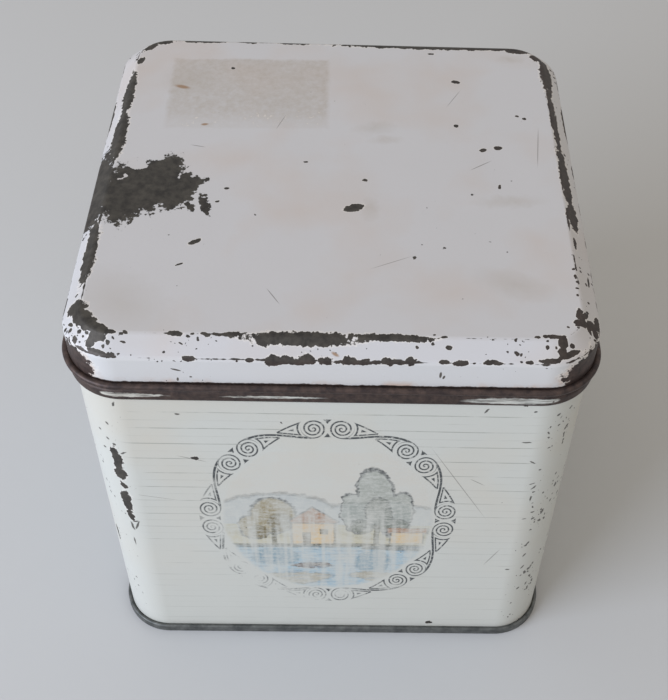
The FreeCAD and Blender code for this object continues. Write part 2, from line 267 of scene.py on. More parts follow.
# The view inside the frame, from back to front: shape, colour, strength, strength of its outline, places.
# A place on the front is x, z, half width and half height in millimetres, then its turn in degrees.
VIEW_RADIUS = 24.4
VIEW = [
    ("block", "#c3bdb2", 0.35, 0.0, [(-1, 66, 27, 13, 0)]),
    ("oval", "#a3adb0", 0.60, 0.4, [(-14, 54, 15, 9, 6), (13, 52, 17, 8, -5)]),
    ("block", "#b5ad88", 0.60, 0.0, [(-1, 45, 27, 5.5, 0)]),
    ("oval", "#8c938c", 0.75, 0.9, [(10, 61, 4.4, 12, 4), (15, 55, 4, 9, -8), (5, 55, 3, 8, 6)]),
    ("oval", "#6a7068", 0.70, 0.5, [(11, 56, 3, 6, 8), (14, 50, 4.4, 3.4, 0), (7, 50, 3, 3, 0)]),
    ("oval", "#857546", 0.80, 0.8, [(-14, 54, 5.5, 7.5, 0), (-18.6, 49, 3.8, 5, 0)]),
    ("oval", "#5f5639", 0.70, 0.0, [(-12.4, 51, 3, 4, 0), (-17.6, 47, 2.4, 3, 0)]),
    ("block", "#5b5a4c", 0.80, 0.0, [(10.6, 46.4, 0.7, 4.2, 0), (-14, 45.6, 0.7, 3.4, 0)]),
    ("block", "#9a7253", 0.90, 0.8, [(-4.6, 51.8, 4.2, 4.2, 45), (18, 48.2, 5, 1.2, 0)]),
    ("block", "#cfb384", 0.85, 0.6, [(-4.6, 46.4, 5.2, 4.6, 0), (18, 45, 4, 2.4, 0)]),
    ("block", "#55564e", 0.80, 0.0, [(-6.2, 44.6, 1.0, 2.6, 0), (-2, 47.4, 1.0, 1.2, 0)]),
    ("block", "#93b0bf", 0.85, 0.0, [(-1, 29.5, 27, 12, 0)]),
    ("block", "#505148", 0.80, 0.0, [(-9, 41.3, 17, 0.9, 1), (16, 40.8, 9, 1.4, -3)]),
    ("oval", "#66828e", 0.60, 0.0, [(10, 34, 4.4, 6, 0), (-14, 36, 6, 4, 0)]),
    ("oval", "#6b5546", 0.80, 0.4, [(-5, 32.4, 5, 1.3, 0)]),
    ("oval", "#a8905f", 0.60, 0.3, [(-12, 25.5, 12, 3.2, 9), (13, 27, 9, 2.4, -8)]),
]


def linear(code):
    """A colour written as an sRGB hex code, as the four linear values that a shader takes."""
    shares = [int(code[i:i + 2], 16) / 255 for i in (1, 3, 5)]
    return tuple(s / 12.92 if s <= 0.04045 else ((s + 0.055) / 1.055) ** 2.4 for s in shares) + (1.0,)


def length(name, description, size):
    """A size that the sidebar shows, given in millimetres."""
    return FloatProperty(name=name, description=description, default=size * MM, unit="LENGTH", precision=5)


def colour(name, description, code):
    """A colour that the sidebar shows, given as an sRGB hex code."""
    return FloatVectorProperty(name=name, description=description, default=linear(code), size=4,
                               subtype="COLOR", min=0.0, max=1.0)


class TinSizes(bpy.types.PropertyGroup):
    """Sizes of the sheet and of its bends."""
    sheet: length("Sheet", "Thickness of the tinplate", 0.3)
    fold_gap: length("Fold gap", "Air between two layers of a fold", 0.06)
    corner_radius: length("Corner radius", "Radius of the body's upright corners, outside", 11.5)
    lid_clearance: length("Lid clearance", "Room between the lid's skirt and the body", 0.35)
    bevel_run: length("Bevel run", "Width of the lid's bevel, seen from above", 4.0)
    bevel_drop: length("Bevel drop", "Height of the lid's bevel", 3.2)
    crease_bend: length("Crease bend", "Bend radius where the bevel meets panel and skirt", 1.5)
    curl_diameter: length("Curl diameter", "Thickness of the lid's rolled rim", 1.6)
    panel_margin: length("Panel margin", "Flat strip inside a bend before the panel starts", 2.0)
    bead_height: length("Bead height", "Height of the bead that the lid stops on", 4.2)
    bead_flank: length("Bead flank", "Height of the bead's slope above and below its crest", 1.1)
    bead_protrusion: length("Bead protrusion", "How far the bead stands out from the wall", 1.1)
    bead_bend: length("Bead bend", "Bend radius at the bead's four corners", 1.0)
    neck_height: length("Neck height", "Height of the mouth above the bead", 7.8)
    hem_depth: length("Hem depth", "Length of the hem folded into the mouth", 3.0)
    seam_width: length("Lock seam width", "Width of the lock seam up the back", 4.5)
    seam_lead: length("Lock seam lead", "Flat wall left beside the lock seam's folds", 1.0)
    seam_setback: length("Lock seam setback", "Plain wall above and below the lock seam", 2.0)
    base_seam_height: length("Base seam height", "Height of the base's double seam", 2.5)
    countersink: length("Countersink", "Height of the base panel's underside above the floor", 3.0)
    base_bend: length("Base bend", "Bend radius round the base panel", 0.8)
    bend_steps: IntProperty(name="Bend steps", description="Facets in one bend of the sheet",
                            default=8, min=2)
    corner_steps: IntProperty(name="Corner steps", description="Facets in one upright corner",
                              default=24, min=4)


class TinPaints(bpy.types.PropertyGroup):
    """Colours of the enamel, the print and the bare metal."""
    lid_enamel: colour("Lid enamel", "Cool white of the lid", "#bec0c4")
    lid_enamel_warm: colour("Lid enamel, yellowed", "The same white where it has aged", "#bcb6b3")
    body_enamel: colour("Body enamel", "Greenish cream of the body", "#c0c3be")
    body_enamel_warm: colour("Body enamel, yellowed", "The same cream where it has aged", "#c1beb3")
    bare_dark: colour("Bare metal, dark", "Tarnished tinplate under the flakes", "#373431")
    bare_light: colour("Bare metal, light", "The same metal where it is rubbed", "#524e48")
    rust_dark: colour("Rust, dark", "Brown film on the rolled rim and the bead", "#352c2b")
    rust_light: colour("Rust, light", "Lighter brown where the rust is thick", "#564741")
    rust_stain: colour("Rust stain", "Orange stain that creeps under the enamel", "#b98f6c")
    # Painted light: a lighter, cooler enamel for the skirt, standing in for the window light that falls on
    # it
    skirt_lit_enamel: colour("Enamel of the skirt", "Enamel that the bevel shades, less yellowed", "#c7c9ca")
    # Partly painted highlight: this pale colour also stands in for light caught on the raised edge of the
    # coat round flakes
    broken_enamel_and_edge_highlight: colour("Broken enamel", "Pale broken edge of the coat round its flakes", "#dddad5")
    glue: colour("Old glue", "Film that a lost label left", "#a29b91")
    smear: colour("Brown smear", "Dried brown drop in the glue", "#8a6843")
    line_ink: colour("Line ink", "Fine rules printed on the body", "#8c9089")
    scroll_ink: colour("Scroll ink", "Scrolled frame printed on the front", "#3c4143")
    ripple_ink: colour("Ripple ink", "Strokes on the water in the printed view", "#6f8798")
    tin_light: colour("Tin, light", "Dull tin inside", "#a9a8a3")
    tin_dark: colour("Tin, dark", "Mottling of the tin inside", "#7d7b75")
    base_light: colour("Base, light", "Rubbed tinplate of the base seam", "#6d6f6d")
    base_dark: colour("Base, dark", "Tarnished tinplate of the base seam", "#474a49")


def add(tree, kind, inputs=(), out=0, **settings):
    """Add a node with its settings, link or set its inputs, and return one of its outputs.

    The kind may end with the node's operation, as in Math ADD.
    """
    kind, _, operation = kind.partition(" ")
    node = tree.nodes.new("ShaderNode" + kind)
    if operation:
        node.operation = operation
    for name, value in settings.items():
        setattr(node, name, value)
    for key, value in inputs.items() if isinstance(inputs, dict) else enumerate(inputs):
        if isinstance(value, bpy.types.NodeSocket):
            tree.links.new(value, node.inputs[key])
        else:
            node.inputs[key].default_value = value
    return node.outputs[out] if node.outputs else None


def over(tree, share, below, above):
    """Lay one colour over another by a share."""
    return add(tree, "Mix", {0: share, 6: below, 7: above}, 2, data_type="RGBA")


def new_material(name):
    """An empty node material, and its tree."""
    material = bpy.data.materials.new(name)
    material.use_nodes = True
    material.node_tree.nodes.clear()
    return material, material.node_tree


def millimetres(tree):
    """Object coordinates in millimetres."""
    place = add(tree, "TexCoord", out="Object")
    return add(tree, "VectorMath SCALE", {0: place, "Scale": 1 / MM})


def torn(tree, place, *tears):
    """The place pushed about by (grain, reach) tears, so that an outline drawn on it has a torn edge."""
    for grain, reach in tears:
        noise = add(tree, "TexNoise", {"Vector": place, "Scale": 1 / grain, "Detail": 3.0}, "Color")
        push = add(tree, "VectorMath SUBTRACT", [noise, (0.5, 0.5, 0.5)])
        place = add(tree, "VectorMath MULTIPLY_ADD", [push, (reach, reach, reach), place])
    return place


def blotched(tree, place, grain, shares, detail=2.0, roughness=0.5):
    """A share that drifts in blotches of a grain in millimetres, or of three, one along each axis.

    The shares are two levels of the noise, and the share that each of them gives.
    """
    scale = 1.0
    if isinstance(grain, tuple):
        place = add(tree, "VectorMath MULTIPLY", [place, tuple(1 / size for size in grain)])
    else:
        scale = 1 / grain
    noise = add(tree, "TexNoise", {"Vector": place, "Scale": scale, "Detail": detail,
                                   "Roughness": roughness})
    return add(tree, "MapRange", [noise, *shares])


def nearest_spot(tree, place, spots, axis=UPRIGHT, shape="oval"):
    """Distance from the nearest of some oval spots or flat blocks, where 1 is the spot's own edge."""
    nearest = None
    for x, y, z, long, wide, turn in spots:
        centre = Vector((x, y, z))
        shrink = Vector((1 / long, 1 / wide, 1 / wide))
        level = place
        if turn:
            level = add(tree, "VectorRotate", {"Vector": place, "Center": centre, "Axis": axis,
                                               "Angle": -math.radians(turn)})
        inside = add(tree, "VectorMath MULTIPLY_ADD", [level, shrink, -centre * shrink])
        if shape == "oval":
            reach = add(tree, "VectorMath LENGTH", [inside], "Value")
        else:
            sides = add(tree, "SeparateXYZ", [add(tree, "VectorMath ABSOLUTE", [inside])]).node
            reach = add(tree, "Math MAXIMUM", [sides.outputs["Y"], sides.outputs["Z"]])
            reach = add(tree, "Math MAXIMUM", [sides.outputs["X"], reach])
        nearest = add(tree, "Math MINIMUM", [nearest, reach]) if nearest else reach
    return nearest


def spotted(tree, place, spots, edge, strength, axis=UPRIGHT, shape="oval"):
    """The share that spots cover: a strength inside, which fades between two distances from the middle."""
    reach = nearest_spot(tree, place, spots, axis, shape)
    return add(tree, "MapRange", [reach, *edge, strength, 0.0])


def flaked(tree, place, small, wide=None):
    """Two shares: where enamel is gone, with a lobed and crumbled edge, and the pale rim of small flakes,
    partly the coat's broken edge and partly a painted highlight on that raised edge.
    """
    crumble = 1.1
    limit = 1 + crumble / 2
    crumbs = add(tree, "TexNoise", {"Vector": place, "Scale": 1 / 1.3, "Detail": 3.5, "Roughness": 0.65})
    edge = add(tree, "Math MULTIPLY_ADD", [crumbs, crumble, small])
    rim = add(tree, "MapRange", [edge, limit, limit + 0.19, 0.55, 0.0])
    if wide is not None:
        wide = add(tree, "Math MULTIPLY_ADD", [crumbs, crumble, wide])
        edge = add(tree, "Math MINIMUM", [edge, wide])
    gone = add(tree, "MapRange", [edge, limit - 0.07, limit, 1.0, 0.0])
    return gone, rim


def specked(tree, place, zone, grain):
    """1 in small ragged specks strewn over a zone, thicker in some places, from a grain in millimetres."""
    cells = add(tree, "TexVoronoi", {"Vector": place, "Scale": 1 / grain, "Randomness": 1.0}).node
    size = blotched(tree, place, 6 * grain, (0.42, 0.66, 0.0, 0.42))
    chance = add(tree, "SeparateXYZ", [cells.outputs["Color"]], "X")
    for share in (chance, zone):
        size = add(tree, "Math MULTIPLY", [size, share])
    gap = add(tree, "Math SUBTRACT", [size, cells.outputs["Distance"]])
    return add(tree, "MapRange", [gap, 0.0, 0.03, 0.0, 1.0])


def outward(tree, place, reach, radius):
    """Distance in plan from a square with rounded corners, in millimetres, positive outside."""
    flat = add(tree, "VectorMath MULTIPLY", [place, (1, 1, 0)])
    folded = add(tree, "VectorMath ABSOLUTE", [flat])
    past = add(tree, "VectorMath SUBTRACT", [folded, (reach - radius, reach - radius, 0)])
    beyond = add(tree, "VectorMath MAXIMUM", [past, (0, 0, 0)])
    corner = add(tree, "VectorMath LENGTH", [beyond], "Value")
    sides = add(tree, "SeparateXYZ", [past]).node
    longer = add(tree, "Math MAXIMUM", [sides.outputs["X"], sides.outputs["Y"]])
    inside = add(tree, "Math MINIMUM", [longer, 0.0])
    both = add(tree, "Math ADD", [corner, inside])
    return add(tree, "Math SUBTRACT", [both, radius])


def corner_zone(tree, place, start, end):
    """0 on the flat sides and 1 at the four upright corners, between two distances from the middle."""
    folded = add(tree, "VectorMath ABSOLUTE", [place])
    sides = add(tree, "SeparateXYZ", [folded]).node
    least = add(tree, "Math MINIMUM", [sides.outputs["X"], sides.outputs["Y"]])
    return add(tree, "MapRange", [least, start, end, 0.0, 1.0])


def speckled(tree, place, dark, light, grain):
    """Two colours mottled over each other, with a grain in millimetres."""
    share = blotched(tree, place, grain, (0.36, 0.66, 0.0, 1.0), 5.0, 0.65)
    return over(tree, share, dark, light)


def bare_metal(tree, place, rusty, paints):
    """Tarnished tinplate as it shows under flaked enamel: dark and dull, and brown by a share."""
    metal = speckled(tree, place, paints.bare_dark, paints.bare_light, 2.2)
    brown = speckled(tree, place, paints.rust_dark, paints.rust_light, 1.6)
    return over(tree, rusty, metal, brown)


def dented(tree, place):
    """Bump of old enamelled sheet: the fine skin of the coat and slow dents in the metal."""
    skin = add(tree, "TexNoise", {"Vector": place, "Scale": 1 / 0.9, "Detail": 2.0})
    dents = add(tree, "TexNoise", {"Vector": place, "Scale": 1 / 22.0, "Detail": 1.0})
    height = add(tree, "Math MULTIPLY", [skin, 0.010])
    height = add(tree, "Math MULTIPLY_ADD", [dents, 0.25, height])
    return add(tree, "Bump", {"Strength": 1.0, "Distance": MM, "Height": height})


def enamel_over_metal(tree, place, bare, skin, metal):
    """One surface that is satin enamel where it is whole, and dull metal where it is bare."""
    face = over(tree, bare, skin, metal)
    shine = add(tree, "Math MULTIPLY", [bare, 0.55])
    gloss = add(tree, "MapRange", [bare, 0.0, 1.0, 0.36, 0.52])
    surface = add(tree, "BsdfPrincipled", {"Base Color": face, "Metallic": shine, "Roughness": gloss,
                                           "Normal": dented(tree, place)})
    add(tree, "OutputMaterial", {"Surface": surface})


def lid_enamel(paints, reach, radius):
    """Stoved white enamel on tinplate: a satin skin, yellowed and stained, flaked to dark metal."""
    material, tree = new_material("stoved_enamel_on_tinplate")
    place = millimetres(tree)
    height = add(tree, "SeparateXYZ", [place], "Z")
    spread = outward(tree, place, reach, radius)

    # The large flake on the left, torn wide, with islands of enamel left in it
    wide_tear = torn(tree, place, (2.6, 3.4), (0.9, 1.0))
    patch = nearest_spot(tree, wide_tear, LID_PATCH)
    islands = spotted(tree, wide_tear, LID_PATCH_ISLANDS, (0.6, 1.0), 2.0)
    patch = add(tree, "Math ADD", [patch, islands])

    # Flakes along the creases and at the corners, torn less
    tear = torn(tree, place, (3.0, 1.3), (0.9, 0.9))
    fine_tear = torn(tree, place, (1.6, 0.8))
    corner_rubs = nearest_spot(tree, fine_tear, LID_CORNER_RUBS)
    small = nearest_spot(tree, tear, LID_CREASE_RUBS)
    for spots in (corner_rubs, nearest_spot(tree, fine_tear, LID_CHIPS)):
        small = add(tree, "Math MINIMUM", [small, spots])
    flakes, rim = flaked(tree, place, small, patch)

    # Hairlines where the two creases have rubbed through
    upper = add(tree, "Math ADD", [spread, UPPER_CREASE_INSET])
    upper = add(tree, "Math ABSOLUTE", [upper])
    lower = add(tree, "Math SUBTRACT", [height, LOWER_CREASE])
    lower = add(tree, "Math ABSOLUTE", [lower])
    crease = add(tree, "Math MINIMUM", [upper, lower])
    stretches = add(tree, "TexNoise", {"Vector": place, "Scale": 1 / 9.0, "Detail": 4.0, "Roughness": 0.7})
    hairline = add(tree, "MapRange", [stretches, 0.47, 0.66, 0.0, 0.5])
    hairline = add(tree, "Math SUBTRACT", [hairline, crease])
    hairline = add(tree, "MapRange", [hairline, 0.0, 0.08, 0.0, 1.0])

    # Specks over the bevel, thickest at the corners, and bare metal below the foot of the enamel
    bevel_top = -UPPER_CREASE_INSET
    on_bevel = add(tree, "MapRange", [spread, bevel_top - 1.3, bevel_top + 0.1, 0.0, 1.1])
    above_skirt = add(tree, "MapRange", [height, LOWER_CREASE - 1.55, LOWER_CREASE - 0.15, 0.25, 1.0])
    zone = corner_zone(tree, place, reach - radius - 6, reach - radius + 3)
    zone = add(tree, "Math MULTIPLY_ADD", [zone, 0.8, 1.0])
    for share in (on_bevel, above_skirt):
        zone = add(tree, "Math MULTIPLY", [zone, share])
    ragged_height = add(tree, "SeparateXYZ", [tear], "Z")
    rim_line = add(tree, "Mix", {0: 0.5, 2: height, 3: ragged_height})
    below_enamel = add(tree, "MapRange", [rim_line, ENAMEL_FOOT, ENAMEL_FOOT + 0.2, 1.0, 0.0])
    bare = flakes
    for share in (hairline, specked(tree, tear, zone, 1.2), specked(tree, tear, 0.32, 3.4), below_enamel):
        bare = add(tree, "Math MAXIMUM", [bare, share])

    # Enamel: cool white, yellowed in clouds and smudged, with the film that a lost label left
    yellow = blotched(tree, place, 24.0, (0.46, 0.72, 0.0, 0.8), 3.0)
    skin = over(tree, yellow, paints.lid_enamel, paints.lid_enamel_warm)
    # Painted light: the skirt is laid over in a lighter, cooler enamel, a painted highlight for the window
    # light it catches
    on_skirt = add(tree, "MapRange", [height, LOWER_CREASE + 0.45, LOWER_CREASE - 0.55, 0.0, 0.8])
    skin = over(tree, on_skirt, skin, paints.skirt_lit_enamel)
    skin = over(tree, spotted(tree, wide_tear, LID_SMUDGES, (0.1, 1.2), 0.32), skin, paints.glue)
    skin = label_glue(tree, place, tear, skin, paints)

    # Rust stains above the rim and round the corners' low flakes, pale rims of flakes (broken enamel with a
    # painted highlight on its raised edge), and scratches
    rim_glow = add(tree, "MapRange", [rim_line, ENAMEL_FOOT + 0.1, ENAMEL_FOOT + 1.7, 0.5, 0.0])
    halo = add(tree, "MapRange", [corner_rubs, 1.0, 1.35, 0.9, 0.0])
    low = add(tree, "MapRange", [height, LOWER_CREASE + 0.75, LOWER_CREASE - 2.75, 0.0, 1.0])
    halo = add(tree, "Math MULTIPLY", [halo, low])
    glow = add(tree, "Math MAXIMUM", [rim_glow, halo])
    stains = add(tree, "MapRange", [stretches, 0.48, 0.66, 0.0, 1.0])
    stains = add(tree, "Math MULTIPLY", [stains, glow])
    skin = over(tree, stains, skin, paints.rust_stain)
    skin = over(tree, rim, skin, paints.broken_enamel_and_edge_highlight)
    scratches = spotted(tree, place, LID_SCRATCHES, (0.7, 1.1), 0.6)
    strokes = spotted(tree, place, SKIRT_STROKES, (0.8, 1.1), 1.0, FACING_FRONT)
    scratches = add(tree, "Math MAXIMUM", [scratches, strokes])
    skin = over(tree, scratches, skin, paints.bare_light)

    # Metal: browner towards the rolled rim and on the right
    low = add(tree, "MapRange", [height, LOWER_CREASE + 0.75, LOWER_CREASE - 2.25, 0.0, 1.0])
    sideways = add(tree, "SeparateXYZ", [place], "X")
    right = add(tree, "MapRange", [sideways, 20.0, 50.0, 0.0, 0.5])
    rusty = add(tree, "Math MAXIMUM", [low, right])
    enamel_over_metal(tree, place, bare, skin, bare_metal(tree, place, rusty, paints))
    return material


def label_glue(tree, place, tear, skin, paints):
    """A rectangle of old glue on the panel, 39 by 29 mm, mottled, torn at its edges, with brown smears."""
    film = spotted(tree, tear, LID_LABEL, (0.96, 1.02), 1.0, shape="block")
    mottle = add(tree, "TexNoise", {"Vector": place, "Scale": 1 / 1.6, "Detail": 6.0, "Roughness": 0.75})
    thick = add(tree, "MapRange", [mottle, 0.36, 0.64, 0.25, 0.60])
    along = add(tree, "SeparateXYZ", [tear], "Y")
    torn_off = add(tree, "MapRange", [along, 17.0, 22.0, 0.35, 1.0])
    for share in (thick, torn_off):
        film = add(tree, "Math MULTIPLY", [film, share])
    skin = over(tree, film, skin, paints.glue)
    flecks = add(tree, "MapRange", [mottle, 0.60, 0.64, 0.0, 0.5])
    strip = spotted(tree, tear, LID_LABEL_STRIP, (0.9, 1.05), 1.0, shape="block")
    flecks = add(tree, "Math MULTIPLY", [flecks, strip])
    skin = over(tree, flecks, skin, paints.broken_enamel_and_edge_highlight)
    return over(tree, spotted(tree, place, LID_SMEARS, (0.5, 1.1), 0.8), skin, paints.smear)


def printed_enamel(paints, reach, radius):
    """Printed tinplate: cream enamel with fine rules and a scrolled frame, rubbed, flaked at its corners."""
    material, tree = new_material("printed_enamel_on_tinplate")
    place = millimetres(tree)
    tear = torn(tree, place, (3.5, 2.0), (0.9, 1.0))
    fine_tear = torn(tree, place, (1.4, 0.6))
    height = add(tree, "SeparateXYZ", [place], "Z")

    # Enamel and print
    yellow = blotched(tree, place, 26.0, (0.45, 0.75, 0.0, 0.8), 3.0)
    # Painted light: less yellowing towards the bottom makes the lower body cooler and paler, a painted light
    # bounced up from the floor
    less_yellow_below_painted_light = add(tree, "MapRange", [height, 20.0, 80.0, 0.2, 1.0])
    yellow = add(tree, "Math MULTIPLY", [yellow, less_yellow_below_painted_light])
    skin = over(tree, yellow, paints.body_enamel, paints.body_enamel_warm)
    corners = corner_zone(tree, place, reach - radius - 0.5, reach - radius + 3.0)
    skin = printed_front(tree, place, corners, skin, paints)
    scratches = spotted(tree, place, BODY_SCRATCHES, (0.7, 1.1), 0.55, FACING_FRONT)
    skin = over(tree, scratches, skin, paints.bare_light)

    # Flakes, fine marks, and specks at the upright corners, more of them on the right
    flakes, rim = flaked(tree, place, nearest_spot(tree, tear, BODY_CHIPS, FACING_FRONT))
    # Pale rims round the flakes: broken enamel with a painted highlight on the coat's raised edge
    skin = over(tree, rim, skin, paints.broken_enamel_and_edge_highlight)
    marks = spotted(tree, fine_tear, BODY_MARKS, (0.7, 1.1), 0.85, FACING_FRONT)
    stretched = add(tree, "VectorMath MULTIPLY", [tear, (1.0, 1.0, 0.6)])
    sideways = add(tree, "SeparateXYZ", [place], "X")
    worn = add(tree, "MapRange", [sideways, -40.0, 40.0, 0.75, 1.35])
    worn = add(tree, "Math MULTIPLY", [corners, worn])
    specks = add(tree, "Math MULTIPLY", [specked(tree, stretched, worn, 1.0), 0.85])

    # The bead and neck that the lid has rubbed, with streaks of paint kept on the bead that are also a
    # painted highlight along its crest
    ragged_height = add(tree, "SeparateXYZ", [tear], "Z")
    line = add(tree, "Mix", {0: 0.4, 2: height, 3: ragged_height})
    rubbed = add(tree, "MapRange", [line, RUB_LINE, RUB_LINE + 0.2, 0.0, 1.0])
    kept = spotted(tree, fine_tear, BEAD_PAINT_AND_HIGHLIGHT, (0.8, 1.05), 1.0)
    streaks = blotched(tree, place, (5.0, 5.0, 0.5), (0.36, 0.56, 0.3, 0.95), 4.0, 0.7)
    kept = add(tree, "Math MULTIPLY", [kept, streaks])
    rubbed = add(tree, "Math SUBTRACT", [rubbed, kept], use_clamp=True)
    bare = flakes
    for share in (marks, specks, specked(tree, tear, 0.28, 3.4), rubbed):
        bare = add(tree, "Math MAXIMUM", [bare, share])

    # Metal: dark under the flakes, brown on the bead, dull bright tin on the neck
    on_bead = add(tree, "MapRange", [height, RUB_LINE - 1.0, RUB_LINE + 0.5, 0.0, 0.9])
    on_neck = add(tree, "MapRange", [line, SHOULDER, SHOULDER + 0.8, 0.0, 1.0])
    tin = speckled(tree, place, paints.tin_dark, paints.tin_light, 4.0)
    metal = over(tree, on_neck, bare_metal(tree, place, on_bead, paints), tin)
    enamel_over_metal(tree, place, bare, skin, metal)
    return material


def printed_front(tree, place, corners, skin, paints):
    """The print: level rules round the body, and on the front a scrolled frame with a faded view in it."""
    flat = (1.0, 1.0, 1 / FRAME_RISE)
    shift = tuple(-middle * scale for middle, scale in zip(FRAME_MIDDLE, flat))
    sheet = add(tree, "VectorMath MULTIPLY_ADD", [place, flat, shift])
    sides = add(tree, "SeparateXYZ", [sheet]).node
    across, up = sides.outputs["X"], sides.outputs["Z"]
    radius = add(tree, "VectorMath LENGTH", [sheet], "Value")
    outside = add(tree, "MapRange", [radius, FRAME_RADIUS + 1, FRAME_RADIUS + 1.5, 0.0, 1.0])
    outside = add(tree, "Math SUBTRACT", [outside, corners], use_clamp=True)
    skin = printed_rules(tree, place, outside, skin, paints)

    # Wipes: level dashes all over and upright streaks low down, where the ink has gone
    dashes = blotched(tree, place, (3.0, 1.0, 0.8), (0.36, 0.54, 0.40, 1.0), 4.0, 0.7)
    streaks = blotched(tree, place, (2.6, 1.0, 40.0), (0.42, 0.60, 0.35, 1.0), 2.0, 0.6)
    upper_half = add(tree, "MapRange", [up, -2.0, 6.0, 0.0, 1.0])
    streaks = add(tree, "Math MAXIMUM", [streaks, upper_half])
    wear = add(tree, "TexNoise", {"Vector": place, "Scale": 1 / 7.0, "Detail": 6.0, "Roughness": 0.7})
    patchy = add(tree, "MapRange", [wear, 0.34, 0.52, 0.40, 1.0])
    stipple = blotched(tree, place, 0.9, (0.36, 0.52, 0.6, 1.0), 3.0, 0.7)

    # The faded view
    depth = add(tree, "SeparateXYZ", [place], "Y")
    on_front = add(tree, "MapRange", [depth, FRONT + 0.1, FRONT + 0.4, 1.0, 0.0])
    ragged_edge = add(tree, "Math MULTIPLY_ADD", [wear, 3.0, radius])
    ink = add(tree, "MapRange", [ragged_edge, VIEW_RADIUS + 1.2, VIEW_RADIUS + 2.2, 1.0, 0.0])
    for share in (on_front, dashes, streaks, patchy, stipple):
        ink = add(tree, "Math MULTIPLY", [ink, share])
    skin = over(tree, ink, skin, lakeside_view(tree, place, up, skin, paints))

    # The frame, worn off low on the left
    lean = add(tree, "Math MULTIPLY_ADD", [across, 0.9, up])
    lean = add(tree, "Math MULTIPLY_ADD", [lean, 0.005, wear])
    lean = add(tree, "MapRange", [lean, 0.28, 0.48, 0.0, 1.0])
    stippled = add(tree, "MapRange", [stipple, 0.6, 0.9, 0.3, 1.0])
    ink = scrolled_frame(tree, across, up, radius)
    for share in (lean, stippled, on_front):
        ink = add(tree, "Math MULTIPLY", [ink, share])
    return over(tree, ink, skin, paints.scroll_ink)


def printed_rules(tree, place, outside, skin, paints):
    """Fine level rules round the body, with paler ones between, broken where they have worn."""
    wander = add(tree, "TexNoise", {"Vector": place, "Scale": 1 / 30.0, "Detail": 2.0})
    height = add(tree, "SeparateXYZ", [place], "Z")
    level = add(tree, "Math MULTIPLY_ADD", [wander, 0.6, height])
    left = blotched(tree, place, (16.0, 16.0, 2.4), (0.40, 0.58, 0.0, 1.0), 4.0, 0.7)
    paler_below = add(tree, "MapRange", [height, 15.0, 75.0, 0.35, 1.0])
    none_above = add(tree, "MapRange", [height, TOP_RULE + 0.5, TOP_RULE + 0.7, 1.0, 0.0])
    for share in (outside, paler_below, none_above):
        left = add(tree, "Math MULTIPLY", [left, share])
    for first, strength in ((TOP_RULE, 0.75), (TOP_RULE - RULE_SPACING / 2, 0.25)):
        from_rule = add(tree, "Math SUBTRACT", [level, first])
        from_rule = add(tree, "Math PINGPONG", [from_rule, RULE_SPACING / 2])
        ink = add(tree, "MapRange", [from_rule, 0.07, 0.20, strength, 0.0])
        ink = add(tree, "Math MULTIPLY", [ink, left])
        skin = over(tree, ink, skin, paints.line_ink)
    return skin


def lakeside_view(tree, place, up, skin, paints):
    """A plain view of hills, trees, houses and water, laid on the enamel from back to front."""
    hand = {"block": torn(tree, place, (2.0, 0.7)), "oval": torn(tree, place, (4.0, 2.4), (1.2, 1.6))}
    view = skin
    for shape, code, strength, outline, places in VIEW:
        spots = [(x, FRONT, z, wide, high, turn) for x, z, wide, high, turn in places]
        edge = nearest_spot(tree, hand[shape], spots, FACING_FRONT, shape)
        view = over(tree, add(tree, "MapRange", [edge, 0.95, 1.02, strength, 0.0]), view, linear(code))
        if outline:
            edge = add(tree, "Math SUBTRACT", [edge, 1.0])
            edge = add(tree, "Math ABSOLUTE", [edge])
            edge = add(tree, "MapRange", [edge, 0.03, 0.09, outline, 0.0])
            view = over(tree, edge, view, paints.scroll_ink)
    ripples = blotched(tree, place, (7.0, 1.0, 0.9), (0.52, 0.60, 0.0, 0.6))
    on_water = add(tree, "MapRange", [up, -9.6, -9.2, 1.0, 0.0])
    ripples = add(tree, "Math MULTIPLY", [ripples, on_water])
    return over(tree, ripples, view, paints.ripple_ink)


